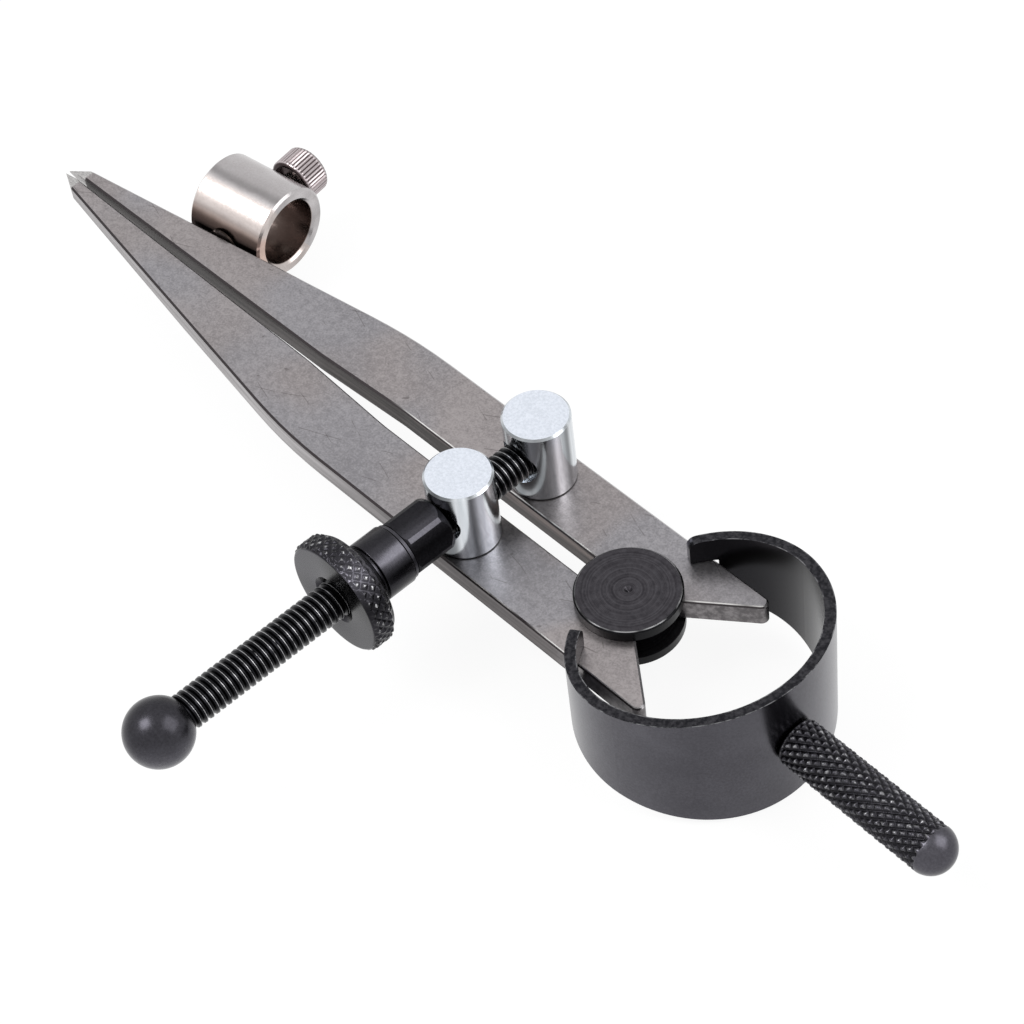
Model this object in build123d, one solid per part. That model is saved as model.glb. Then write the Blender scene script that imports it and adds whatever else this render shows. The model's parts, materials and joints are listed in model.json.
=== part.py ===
from build123d import *
import os
from math import acos, atan2, cos, degrees, radians, sin, sqrt

# Wing divider, modelled nearly closed, in millimetres. While it is built, the pivot
# axis is x = y = 0, the upper face of the legs is z = 0, the points look toward -X,
# the grip toward +X, and the adjusting screw lies along Y.

# Legs
point_reach = 146.3
leg_thickness = 4.3
outer_edge = 14.6
inner_edge = 2.1
point_gap = 0.8
point_length = 4.8
point_width = 2.35
point_thickness = 2.7
point_flat = 0.3
taper_start = 90.0
knee_x = 67.2
knee_radius = 115.0
waist_x = 76.0
waist_half_gap = 1.05
gap_bend_x = 56.0
gap_bend_radius = 40.0
tail_angle = 37.4
tail_tip_radius = 1.2
leg_edge_chamfer = 0.35

# Pivot roller
roller_core_radius = 5.5
roller_flange_radius = 8.7
roller_flange = 2.0
roller_chamfer = 0.35
roller_centre_radius = 0.7
leg_side_gap = 0.1
running_gap = 0.05

# Bow spring
bow_centre_x = 15.0
bow_radius = 21.55
bow_thickness = 1.8
bow_turn = -1.3
bow_back_height = 25.8
bow_end_height = 13.3
bow_round_half_angle = 78.4
curl_radius = 16.45
curl_end_angle = 152.5
slot_root_angle = 136.0
slot_gap = 0.2
prong_corner = 1.6

# Grip handle and the screw that holds it
grip_radius = 4.1
grip_length = 31.5
grip_end_chamfer = 0.5
grip_neck_depth = 0.25
grip_neck_width = 0.7
grip_screw_radius = 2.0
grip_screw_depth = 11.0
grip_screw_head_radius = 3.6
grip_screw_head = 2.0
driver_slot_width = 0.9
driver_slot_depth = 0.8
lock_washer_radius = 3.4
lock_washer = 0.8

# Swivel posts
post_x = 28.5
post_radius = 5.65
post_height = 14.35
post_chamfer = 0.35
post_shank_radius = 2.9
clip_radius = 4.4
clip = 0.6
clip_groove_depth = 0.5
clip_mouth = 4.2
shank_end = 0.6
seat_gap = 0.05
post_offset = (outer_edge + inner_edge) / 2

# Adjusting screw, its pin and its ball end
screw_height = 7.3
screw_radius = 3.175
screw_end_chamfer = 0.5
screw_seat_depth = 3.2
screw_mouth_radius = 3.9
screw_mouth_depth = 2.2
slide_gap = 0.2
ball_centre = 70.0
ball_radius = 5.6
ball_spigot_radius = 2.4
ball_spigot = 4.0
pin_radius = 0.8
pin_bite = 2.4

# Knurled nut, snap ring and thrust cap
nut_gap = 0.07
cap_length = 7.8
cap_across_flats = 9.4
cap_corner_radius = 5.2
cap_chamfer = 0.6
cap_corner_turn = 35.0
cap_seat_radius = 4.0
cap_seat_depth = 2.5
ring_space = 0.9
ring_width = 0.5
ring_radius = 4.95
nut_barrel = 5.3
nut_barrel_radius = 5.2
nut_groove = 0.6
nut_groove_radius = 4.5
nut_neck = 1.8
nut_neck_radius = 6.8
disc_width = 4.8
disc_radius = 10.0
disc_face_chamfer = 0.6
disc_back_chamfer = 1.3
nut_mouth_radius = 4.3
nut_mouth_depth = 1.1
nut_spigot_radius = 4.1
nut_spigot = 2.6

# Pencil collar on the far leg, its rivet and its thumb screw
collar_x = 110.9
collar_radius = 8.5
collar_bore_radius = 6.2
collar_length = 16.2
collar_chamfer = 0.4
collar_mouth_chamfer = 0.5
collar_tilt = 1.7
spacer_thickness = 0.4
spacer_radius = 3.0
rivet_radius = 1.5
rivet_bite = 4.5
rivet_head_radius = 2.5
rivet_head = 1.0
rivet_head_cover = 0.2
thumb_stem_radius = 1.9
thumb_stem_tip = 2.2
thumb_tip_chamfer = 0.4
thumb_head_radius = 4.55
thumb_head = 5.2
thumb_head_gap = 1.0
thumb_recess_radius = 3.6
thumb_recess = 1.0
thumb_socket = 3.0
thumb_chamfer = 0.4


# Turned pieces. An outline is drawn with the radius along X and the distance along Y.
def turned_outline(edges, axis_plane):
    solid = revolve(Plane.XZ * make_face(edges), Axis.Z, 360)
    return axis_plane * solid


# The same from a profile of (distance along the axis, radius) pairs
def turned(profile, axis_plane):
    points = [(radius, along) for along, radius in profile]
    return turned_outline(Polyline(*points, close=True), axis_plane)


def drilled(radius, start, end, axis_plane):
    return turned([(start, 0), (start, radius), (end, radius), (end, 0)], axis_plane)


def upright(x, y, z=0.0):
    return Plane(origin=(x, y, z), x_dir=(1, 0, 0), z_dir=(0, 0, 1))


# A flat outline in the XZ plane, drawn as (x, z) points and made width wide along Y
def side_prism(points, width):
    outline = make_face(Polyline(*points, close=True))
    return extrude(Plane.XZ * outline, width / 2, both=True)


def mirrored(solid):
    return mirror(solid, about=Plane.XZ)


# Far leg

tail_direction = (cos(radians(tail_angle)), sin(radians(tail_angle)))
tail_reach = outer_edge * tail_direction[0] / tail_direction[1]
shoulder_x = point_reach - point_length
shoulder_y = point_gap / 2 + point_width
outer_slope = (outer_edge - shoulder_y) / (shoulder_x - knee_x)
socket_radius = roller_core_radius + running_gap


def plain_leg():
    corners = [
        (-point_reach, point_gap / 2),
        (-shoulder_x, shoulder_y),
        (-knee_x, outer_edge),
        (tail_reach, outer_edge),
        (0, 0),
        (-inner_edge, inner_edge),
        (-gap_bend_x, inner_edge),
        (-waist_x, waist_half_gap),
    ]
    radii = [0, 0, knee_radius, tail_tip_radius, 0, 0, gap_bend_radius, gap_bend_radius]
    outline = make_face(FilletPolyline(*corners, radius=radii, close=True))
    leg = extrude(outline, -leg_thickness)
    level_edges = leg.edges().filter_by(lambda edge: abs(edge.tangent_at(0.5).Z) < 0.1)
    long_edges = level_edges.filter_by(lambda edge: edge.length > 2 * leg_thickness)
    return chamfer(long_edges, leg_edge_chamfer)


# The underside rises toward the point, and two ground facets meet at its tip
def thinned(leg):
    width = 4 * outer_edge
    beyond = point_reach + 1
    rise = (leg_thickness - point_thickness) / (shoulder_x - taper_start)
    under = [
        (-taper_start, -leg_thickness),
        (-beyond, -leg_thickness),
        (-beyond, -leg_thickness + rise * (beyond - taper_start)),
    ]
    tip_drop = (point_thickness - point_flat) / 2 * (beyond - shoulder_x) / point_length
    upper = [(-shoulder_x, 0), (-beyond, 0), (-beyond, -tip_drop)]
    lower = [
        (-shoulder_x, -point_thickness),
        (-beyond, -point_thickness),
        (-beyond, -point_thickness + tip_drop),
    ]
    return leg - side_prism(under, width) - side_prism(upper, width) - side_prism(lower, width)


def leg_at_far_side():
    socket = Cylinder(socket_radius, 3 * leg_thickness)
    hole_radius = post_shank_radius + running_gap
    hole = drilled(hole_radius, -2 * leg_thickness, leg_thickness, upright(-post_x, post_offset))
    return thinned(plain_leg()) - socket - hole


# Pivot roller, a spool whose flanges hold the legs between them

roller_top = leg_side_gap + roller_flange
roller_bottom = -leg_thickness - roller_top


def pivot_roller():
    profile = [
        (roller_bottom, 0),
        (roller_bottom, roller_flange_radius - roller_chamfer),
        (roller_bottom + roller_chamfer, roller_flange_radius),
        (-leg_thickness - leg_side_gap, roller_flange_radius),
        (-leg_thickness - leg_side_gap, roller_core_radius),
        (leg_side_gap, roller_core_radius),
        (leg_side_gap, roller_flange_radius),
        (roller_top - roller_chamfer, roller_flange_radius),
        (roller_top, roller_flange_radius - roller_chamfer),
        (roller_top, roller_centre_radius),
        (roller_top - roller_centre_radius, 0),
    ]
    return turned(profile, upright(0, 0))


# Bow spring: a flat strip, wider at its back, bent to a C with two tighter ends. It hangs
# a little to one side of the legs, with the grip, by bow_turn about the pivot.

bow_middle_z = -leg_thickness / 2
bow_mid_radius = bow_radius - bow_thickness / 2
curl_shift = bow_mid_radius - curl_radius


def on_circle(centre, radius, angle):
    return (centre[0] + radius * cos(radians(angle)), centre[1] + radius * sin(radians(angle)))


curl_centre = on_circle((bow_centre_x, 0), curl_shift, bow_round_half_angle)


def bow_outline():
    half = bow_round_half_angle
    curl_turn = curl_end_angle - half
    edges = []
    for shift in (bow_thickness / 2, -bow_thickness / 2):
        back = CenterArc((bow_centre_x, 0), bow_mid_radius + shift, -half, 2 * half)
        curl = CenterArc(curl_centre, curl_radius + shift, half, curl_turn)
        edges += [back, curl, mirrored(curl)]
    inner_end = on_circle(curl_centre, curl_radius - bow_thickness / 2, curl_end_angle)
    outer_end = on_circle(curl_centre, curl_radius + bow_thickness / 2, curl_end_angle)
    end_line = Line(inner_end, outer_end)
    return make_face(edges + [end_line, mirrored(end_line)])


# The leg passes through a slot that is open at the end of the strip
def leg_slot():
    reach = 2 * curl_radius
    wedge = Polyline(
        curl_centre,
        on_circle(curl_centre, reach, slot_root_angle),
        on_circle(curl_centre, reach, 180),
        close=True,
    )
    height = leg_thickness + 2 * slot_gap
    return Pos(0, 0, -leg_thickness - slot_gap) * extrude(make_face(wedge), height)


def bow_spring():
    front = min(0.0, curl_centre[0] - curl_radius - bow_thickness)
    back = bow_centre_x + bow_radius
    end_x = on_circle(curl_centre, curl_radius, curl_end_angle)[0]
    growth = (bow_back_height - bow_end_height) / 2 / (back - end_x)

    def half_height(x):
        return bow_end_height / 2 + growth * (x - end_x)

    strip = extrude(bow_outline(), bow_back_height, both=True)
    sides = [
        (front, bow_middle_z - half_height(front)),
        (back + 1, bow_middle_z - half_height(back + 1)),
        (back + 1, bow_middle_z + half_height(back + 1)),
        (front, bow_middle_z + half_height(front)),
    ]
    strip = strip & side_prism(sides, 3 * bow_radius)
    end_corners = strip.edges().filter_by(
        lambda edge: edge.length < 2 * bow_thickness and edge.center().X < 2 * bow_thickness + end_x
    )
    strip = fillet(end_corners, prong_corner)
    screw_hole = drilled(grip_screw_radius + running_gap, bow_centre_x, back + 1, grip_axis)
    return strip - leg_slot() - mirrored(leg_slot()) - screw_hole


# Grip handle, its screw and its lock washer, all along X through the back of the bow

grip_axis = Plane(origin=(0, 0, bow_middle_z), x_dir=(0, 1, 0), z_dir=(1, 0, 0))
grip_start = bow_centre_x + bow_radius + seat_gap
bow_inner_radius = bow_radius - bow_thickness
lock_washer_seat = bow_centre_x + sqrt(bow_inner_radius**2 - lock_washer_radius**2)


def grip_handle():
    dome_start = grip_start + grip_length - grip_radius
    neck_radius = grip_radius - grip_neck_depth
    hole_end = grip_start + grip_screw_depth
    sides = Polyline(
        (grip_radius, dome_start),
        (neck_radius, dome_start),
        (neck_radius, dome_start - grip_neck_width),
        (grip_radius, dome_start - grip_neck_width),
        (grip_radius, grip_start + grip_end_chamfer),
        (grip_radius - grip_end_chamfer, grip_start),
        (grip_screw_radius, grip_start),
        (grip_screw_radius, hole_end),
        (0, hole_end),
        (0, grip_start + grip_length),
    )
    dome = CenterArc((0, dome_start), grip_radius, 0, 90)
    return turned_outline([sides, dome], grip_axis)


def handle_screw():
    head_end = lock_washer_seat - lock_washer - seat_gap
    head_start = head_end - grip_screw_head
    profile = [
        (head_start, 0),
        (head_start, grip_screw_head_radius - driver_slot_depth),
        (head_start + driver_slot_depth, grip_screw_head_radius),
        (head_end, grip_screw_head_radius),
        (head_end, grip_screw_radius),
        (grip_start + grip_screw_depth - seat_gap, grip_screw_radius),
        (grip_start + grip_screw_depth - seat_gap, 0),
    ]
    slot = Box(2 * driver_slot_depth, 3 * grip_screw_head_radius, driver_slot_width)
    return turned(profile, grip_axis) - Pos(head_start, 0, bow_middle_z) * slot


def handle_lock_washer():
    inner = grip_screw_radius + running_gap
    start = lock_washer_seat - lock_washer
    profile = [
        (start, inner),
        (start, lock_washer_radius),
        (lock_washer_seat, lock_washer_radius),
        (lock_washer_seat, inner),
    ]
    return turned(profile, grip_axis)


# Swivel posts, each with the clip that holds it in its leg

shank_groove_top = -leg_thickness - seat_gap
shank_bottom = shank_groove_top - clip - shank_end
screw_axis = Plane(origin=(-post_x, 0, screw_height), x_dir=(1, 0, 0), z_dir=(0, 1, 0))


def plain_post(y):
    groove_radius = post_shank_radius - clip_groove_depth
    profile = [
        (shank_bottom, 0),
        (shank_bottom, post_shank_radius),
        (shank_groove_top - clip, post_shank_radius),
        (shank_groove_top - clip, groove_radius),
        (shank_groove_top, groove_radius),
        (shank_groove_top, post_shank_radius),
        (seat_gap, post_shank_radius),
        (seat_gap, post_radius),
        (post_height - post_chamfer, post_radius),
        (post_height, post_radius - post_chamfer),
        (post_height, 0),
    ]
    return turned(profile, upright(-post_x, y))


def near_post():
    face = -post_offset - post_radius
    bore = drilled(screw_radius + slide_gap, face - 1, face + 3 * post_radius, screw_axis)
    seat = drilled(cap_seat_radius, face - 1, face + cap_seat_depth, screw_axis)
    return plain_post(-post_offset) - bore - seat


def far_post():
    seat = drilled(screw_radius, 0, post_offset + screw_seat_depth, screw_axis)
    face = post_offset - post_radius
    mouth = drilled(screw_mouth_radius, face - 1, face + screw_mouth_depth, screw_axis)
    pin_hole = drilled(pin_radius, shank_bottom - 1, screw_height, upright(-post_x, post_offset))
    return plain_post(post_offset) - seat - mouth - pin_hole


def post_clip(y):
    inner = post_shank_radius - clip_groove_depth
    low = shank_groove_top - clip
    profile = [(low, inner), (low, clip_radius), (shank_groove_top, clip_radius), (shank_groove_top, inner)]
    mouth = Pos(-post_x - clip_radius, y, low) * Box(2 * clip_radius, clip_mouth, 4 * clip)
    return turned(profile, upright(-post_x, y)) - mouth


# Adjusting screw, pinned in the far post, with the ball that stops the nut at its end

screw_near_end = -ball_centre + sqrt(ball_radius**2 - screw_radius**2)
screw_far_end = post_offset + screw_seat_depth


def adjusting_screw():
    spigot_end = screw_near_end - ball_spigot
    profile = [
        (spigot_end, 0),
        (spigot_end, ball_spigot_radius),
        (screw_near_end, ball_spigot_radius),
        (screw_near_end, screw_radius),
        (screw_far_end - screw_end_chamfer, screw_radius),
        (screw_far_end, screw_radius - screw_end_chamfer),
        (screw_far_end, 0),
    ]
    pin_top = screw_height - screw_radius + pin_bite
    pin_hole = drilled(pin_radius, shank_bottom, pin_top, upright(-post_x, post_offset))
    return turned(profile, screw_axis) - pin_hole


def screw_pin():
    pin_top = screw_height - screw_radius + pin_bite
    return drilled(pin_radius, shank_bottom, pin_top - seat_gap, upright(-post_x, post_offset))


def ball_end():
    outside = CenterArc((0, -ball_centre), ball_radius, -90, 90 + degrees(acos(screw_radius / ball_radius)))
    inside = Polyline(
        (screw_radius, screw_near_end),
        (ball_spigot_radius, screw_near_end),
        (ball_spigot_radius, screw_near_end - ball_spigot),
        (0, screw_near_end - ball_spigot),
        (0, -ball_centre - ball_radius),
    )
    return turned_outline([outside, inside], screw_axis)


# Nut, snap ring and thrust cap, stacked outward from the near post

cap_inner_face = -post_offset - post_radius - seat_gap
cap_outer_face = cap_inner_face - cap_length
barrel_start = cap_outer_face - ring_space
groove_start = barrel_start - nut_barrel
neck_start = groove_start - nut_groove
disc_start = neck_start - nut_neck
disc_end = disc_start - disc_width


def thrust_cap():
    flats = RegularPolygon(cap_across_flats / 2, 6, major_radius=False)
    standing = Rot(0, 0, 90 - cap_corner_turn) * extrude(flats, cap_length)
    hexagon = Pos(-post_x, cap_inner_face, screw_height) * Rot(90, 0, 0) * standing
    rounded = turned(
        [
            (cap_outer_face, 0),
            (cap_outer_face, cap_corner_radius - cap_chamfer / 2),
            (cap_outer_face + cap_chamfer / 2, cap_corner_radius),
            (cap_inner_face - 2 * cap_chamfer, cap_corner_radius),
            (cap_inner_face, cap_corner_radius - cap_chamfer),
            (cap_inner_face, 0),
        ],
        screw_axis,
    )
    bore = drilled(screw_radius + slide_gap, cap_outer_face - 1, cap_inner_face + 1, screw_axis)
    socket_end = cap_outer_face + nut_spigot - ring_space + running_gap
    socket = drilled(nut_spigot_radius + running_gap, cap_outer_face - 1, socket_end, screw_axis)
    return (hexagon & rounded) - bore - socket


def nut_snap_ring():
    start = barrel_start + (ring_space - ring_width) / 2
    inner = nut_spigot_radius
    profile = [
        (start, inner),
        (start, ring_radius),
        (start + ring_width, ring_radius),
        (start + ring_width, inner),
    ]
    return turned(profile, screw_axis)


def knurled_nut():
    bore = screw_radius + nut_gap
    spigot_end = barrel_start + nut_spigot
    profile = [
        (disc_end + nut_mouth_depth, bore),
        (disc_end, nut_mouth_radius),
        (disc_end, disc_radius - disc_face_chamfer),
        (disc_end + disc_face_chamfer, disc_radius),
        (disc_start - disc_back_chamfer, disc_radius),
        (disc_start, disc_radius - disc_back_chamfer),
        (disc_start, nut_neck_radius),
        (neck_start, nut_barrel_radius),
        (neck_start, nut_groove_radius),
        (groove_start, nut_groove_radius),
        (groove_start, nut_barrel_radius),
        (barrel_start, nut_barrel_radius),
        (barrel_start, nut_spigot_radius),
        (spigot_end, nut_spigot_radius),
        (spigot_end, bore),
    ]
    return turned(profile, screw_axis)


# Pencil collar. Its own frame has X along the outer edge of the leg, Y square to that
# edge and away from the leg, and its origin on the edge at half the leg's thickness.

collar_edge_y = shoulder_y + outer_slope * (shoulder_x - collar_x)
collar_leg_thickness = leg_thickness - (leg_thickness - point_thickness) * (collar_x - taper_start) / (
    shoulder_x - taper_start
)
edge_angle = degrees(atan2(outer_slope, 1))
edge_place = Pos(-collar_x, collar_edge_y, -collar_leg_thickness / 2) * Rot(0, 0, edge_angle)
collar_place = edge_place * Rot(0, collar_tilt, 0)
collar_centre = spacer_thickness + seat_gap + collar_radius
swivel_axis = Plane(origin=(0, 0, 0), x_dir=(1, 0, 0), z_dir=(0, 1, 0))
rivet_far_end = collar_centre - collar_bore_radius - rivet_head_cover


def pencil_collar():
    tube_axis = Plane(origin=(0, collar_centre, 0), x_dir=(0, 1, 0), z_dir=(1, 0, 0))
    half = collar_length / 2
    profile = [
        (-half + collar_mouth_chamfer, collar_bore_radius),
        (-half, collar_bore_radius + collar_mouth_chamfer),
        (-half, collar_radius - collar_chamfer),
        (-half + collar_chamfer, collar_radius),
        (half - collar_chamfer, collar_radius),
        (half, collar_radius - collar_chamfer),
        (half, collar_bore_radius + collar_mouth_chamfer),
        (half - collar_mouth_chamfer, collar_bore_radius),
    ]
    tube = turned(profile, tube_axis)
    rivet_hole = drilled(rivet_radius + running_gap, 0, collar_centre, swivel_axis)
    head_start = rivet_far_end - rivet_head - running_gap
    sink = turned(
        [
            (head_start, 0),
            (head_start, rivet_radius + running_gap),
            (rivet_far_end, rivet_head_radius + running_gap),
            (collar_centre, rivet_head_radius + running_gap),
            (collar_centre, 0),
        ],
        swivel_axis,
    )
    stem_hole = drilled(thumb_stem_radius + running_gap, collar_centre, 3 * collar_radius, swivel_axis)
    return collar_place * (tube - rivet_hole - sink - stem_hole)


def collar_rivet():
    profile = [
        (-rivet_bite, 0),
        (-rivet_bite, rivet_radius),
        (rivet_far_end - rivet_head, rivet_radius),
        (rivet_far_end, rivet_head_radius),
        (rivet_far_end, 0),
    ]
    return edge_place * turned(profile, swivel_axis)


def collar_spacer():
    profile = [
        (seat_gap, rivet_radius),
        (seat_gap, spacer_radius),
        (spacer_thickness, spacer_radius),
        (spacer_thickness, rivet_radius),
    ]
    return edge_place * turned(profile, swivel_axis)


thumb_head_start = collar_centre + collar_radius + thumb_head_gap
thumb_head_end = thumb_head_start + thumb_head


def thumb_screw_stem():
    tip = collar_centre + thumb_stem_tip
    end = thumb_head_start + thumb_socket
    profile = [
        (tip, 0),
        (tip, thumb_stem_radius - thumb_tip_chamfer),
        (tip + thumb_tip_chamfer, thumb_stem_radius),
        (end, thumb_stem_radius),
        (end, 0),
    ]
    return collar_place * turned(profile, swivel_axis)


def thumb_screw_head():
    profile = [
        (thumb_head_start + thumb_recess, thumb_stem_radius),
        (thumb_head_start + thumb_recess, thumb_recess_radius),
        (thumb_head_start, thumb_recess_radius),
        (thumb_head_start, thumb_head_radius - thumb_chamfer),
        (thumb_head_start + thumb_chamfer, thumb_head_radius),
        (thumb_head_end - thumb_chamfer, thumb_head_radius),
        (thumb_head_end, thumb_head_radius - thumb_chamfer),
        (thumb_head_end, 0),
        (thumb_head_start + thumb_socket, 0),
        (thumb_head_start + thumb_socket, thumb_stem_radius),
    ]
    return collar_place * turned(profile, swivel_axis)


def far_leg():
    hole = edge_place * drilled(rivet_radius, -rivet_bite, 1, swivel_axis)
    return leg_at_far_side() - hole


# The whole divider, moved so that its origin is under the middle of its box

bow_place = Rot(0, 0, bow_turn)

nodes = {
    "bow_spring": bow_place * bow_spring(),
    "grip_handle": bow_place * grip_handle(),
    "handle_screw": bow_place * handle_screw(),
    "handle_lock_washer": bow_place * handle_lock_washer(),
    "pivot_roller": pivot_roller(),
    "near_leg": mirrored(leg_at_far_side()),
    "far_leg": far_leg(),
    "near_post": near_post(),
    "near_post_clip": post_clip(-post_offset),
    "thrust_cap": thrust_cap(),
    "knurled_nut": knurled_nut(),
    "nut_snap_ring": nut_snap_ring(),
    "far_post": far_post(),
    "far_post_clip": post_clip(post_offset),
    "adjusting_screw": adjusting_screw(),
    "screw_pin": screw_pin(),
    "ball_end": ball_end(),
    "collar_rivet": collar_rivet(),
    "collar_spacer": collar_spacer(),
    "pencil_collar": pencil_collar(),
    "thumb_screw_stem": thumb_screw_stem(),
    "thumb_screw_head": thumb_screw_head(),
}

box = Compound(list(nodes.values())).bounding_box()
origin_x = (box.min.X + box.max.X) / 2
origin_y = (box.min.Y + box.max.Y) / 2
origin_z = box.min.Z

os.makedirs("parts", exist_ok=True)
for name, solid in nodes.items():
    export_step(Pos(-origin_x, -origin_y, -origin_z) * solid, f"parts/{name}.step")
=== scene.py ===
import json
from math import cos, pi, radians, sin

import bmesh
import bpy
import numpy as np
from mathutils import Matrix, Vector

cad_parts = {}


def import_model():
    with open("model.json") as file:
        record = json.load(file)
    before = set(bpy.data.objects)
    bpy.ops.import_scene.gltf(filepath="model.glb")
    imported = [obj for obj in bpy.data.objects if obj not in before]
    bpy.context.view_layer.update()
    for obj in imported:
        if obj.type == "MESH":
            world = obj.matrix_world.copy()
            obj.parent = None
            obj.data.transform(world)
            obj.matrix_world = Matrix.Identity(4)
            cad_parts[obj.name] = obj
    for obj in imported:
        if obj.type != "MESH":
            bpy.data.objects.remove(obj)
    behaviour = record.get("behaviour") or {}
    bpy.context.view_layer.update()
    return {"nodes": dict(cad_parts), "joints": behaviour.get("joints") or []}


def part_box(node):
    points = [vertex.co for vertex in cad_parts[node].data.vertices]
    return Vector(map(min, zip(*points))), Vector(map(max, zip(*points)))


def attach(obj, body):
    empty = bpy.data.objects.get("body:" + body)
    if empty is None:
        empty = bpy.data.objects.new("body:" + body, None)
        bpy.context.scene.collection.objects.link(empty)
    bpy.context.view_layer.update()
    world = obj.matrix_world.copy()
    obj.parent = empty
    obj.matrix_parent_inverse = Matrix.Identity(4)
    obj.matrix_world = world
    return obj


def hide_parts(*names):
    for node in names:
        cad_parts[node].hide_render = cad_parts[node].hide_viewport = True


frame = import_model()
joints = {joint["name"]: joint for joint in frame["joints"]}
MM = 0.001


# Places taken from the solids, in metres


def corners_of(node):
    low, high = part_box(node)
    return np.array(low), np.array(high)


pivot = np.array(joints["near_leg_opening"]["pos_m"])
leg_low, leg_high = corners_of("near_leg")
leg_top = leg_high[2]
roller_top = corners_of("pivot_roller")[1][2]
screw_low, screw_high = corners_of("adjusting_screw")
screw_line = (screw_low + screw_high) / 2
nut_low, nut_high = corners_of("knurled_nut")
ball_low, ball_high = corners_of("ball_end")
post_low, post_high = corners_of("near_post")
far_post_low, far_post_high = corners_of("far_post")
thumb_in = np.array(joints["thumb_stem_travel"]["axis"])
thumb_out = -thumb_in / np.linalg.norm(thumb_in)
thumb_start = np.array(joints["thumb_head_turn"]["pos_m"])
collar_low, collar_high = corners_of("pencil_collar")
collar_middle = (collar_low + collar_high) / 2


# Sizes that the pieces share with the solids, in millimetres

bow_turn = radians(-1.3)
bow_centre = 15.0
bow_mid_radius = 20.65
bow_half_thickness = 0.9
bow_round_half_angle = radians(78.4)
curl_shift = 4.2
grip_start = 36.6
grip_radius = 4.1
grip_length = 31.5
grip_ridges = 18
grip_knurl_pitch = 2.2
grip_knurl_depth = 0.46
roller_radius = 8.7
screw_radius = 3.175
screw_pitch = 1.18
thread_root = 2.72
crest_wear = 0.05
ball_radius = 5.6
disc_radius = 10.0
disc_width = 4.8
thumb_radius = 4.55
thumb_length = 5.2
thumb_recess_radius = 3.6
thumb_recess = 1.0
thumb_teeth = 40
thumb_tooth_depth = 0.26
post_bore = 3.375
nut_bore = 3.25
barrel_radius = 5.2
groove_radius = 4.5
nut_spigot_radius = 4.1
nut_ridges = 34
nut_knurl_pitch = 1.8
nut_knurl_depth = 0.27
collar_bore = 6.2
collar_tilt = radians(1.7)


# Directions of the grip and of the collar, and the side of the tool that is looked at

grip_way = np.array([cos(bow_turn), sin(bow_turn), 0.0])
bow_middle = pivot + grip_way * bow_centre * MM
seen_side = np.array([0.523, -0.391, 0.757])
up = np.array([0.0, 0.0, 1.0])
screw_way = np.array([0.0, 1.0, 0.0])


def collar_way():
    """Along the leg's edge, dropped by the tilt of the collar."""
    level = np.cross(thumb_out, up)
    return level * cos(collar_tilt) - up * sin(collar_tilt)


# Meshes from arrays


def make_piece(name, points, faces, body, sharp, merge=1e-7):
    """A closed mesh from an array of points and lists of faces. Points closer than the merge distance
    become one, open ends are filled, normals point outwards and edges over the sharp angle stay
    crisp.
    """
    mesh = bpy.data.meshes.new(name)
    mesh.from_pydata(points.reshape(-1, 3).tolist(), [], faces)
    work = bmesh.new()
    work.from_mesh(mesh)
    bmesh.ops.remove_doubles(work, verts=work.verts, dist=merge)
    bmesh.ops.dissolve_degenerate(work, edges=work.edges, dist=1e-8)
    bmesh.ops.holes_fill(work, edges=[edge for edge in work.edges if edge.is_boundary])
    bmesh.ops.recalc_face_normals(work, faces=work.faces)
    work.to_mesh(mesh)
    work.free()
    mesh.shade_smooth()
    mesh.set_sharp_from_angle(angle=radians(sharp))
    piece = bpy.data.objects.new(name, mesh)
    bpy.context.scene.collection.objects.link(piece)
    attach(piece, body)
    return piece


def square_to(axis):
    """Two unit directions square to an axis and to each other."""
    start = up if abs(axis[2]) < 0.9 else np.array([1.0, 0.0, 0.0])
    first = np.cross(axis, start)
    first /= np.linalg.norm(first)
    return first, np.cross(axis, first)


def rounded(corners, radii, steps=4):
    """A profile whose corners are replaced by arcs. Each arc touches both sides of its corner, as far
    along them as the radius over the tangent of half the corner's angle, and its points are spaced
    evenly in angle.
    """
    corners = np.array(corners, float)
    points = [corners[0]]
    for before, corner, after, radius in zip(corners[:-2], corners[1:-1], corners[2:], radii[1:-1]):
        to_before = (before - corner) / np.linalg.norm(before - corner)
        to_after = (after - corner) / np.linalg.norm(after - corner)
        half = np.arccos(np.clip(to_before @ to_after, -1, 1)) / 2
        if radius == 0 or half > pi / 2 - 0.01:
            points.append(corner)
            continue
        middle = (to_before + to_after) / np.linalg.norm(to_before + to_after)
        centre = corner + middle * radius / np.sin(half)
        first = corner + to_before * radius / np.tan(half) - centre
        last = corner + to_after * radius / np.tan(half) - centre
        share = np.linspace(0, 1, steps + 1)[:, None]
        turn = pi - 2 * half
        swing = np.sin((1 - share) * turn) * first + np.sin(share * turn) * last
        points.extend(centre + swing / np.sin(turn))
    points.append(corners[-1])
    return np.array(points)


def finely(profile, spacing):
    """The same profile with points added on its straight parts, no further apart than the spacing."""
    profile = np.array(profile, float)
    lengths = np.linalg.norm(np.diff(profile, axis=0), axis=1)
    counts = np.maximum(1, np.ceil(lengths / spacing).astype(int))
    parts = [
        start + (end - start) * np.linspace(0, 1, count, endpoint=False)[:, None]
        for start, end, count in zip(profile[:-1], profile[1:], counts)
    ]
    return np.concatenate(parts + [profile[-1:]])


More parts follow.
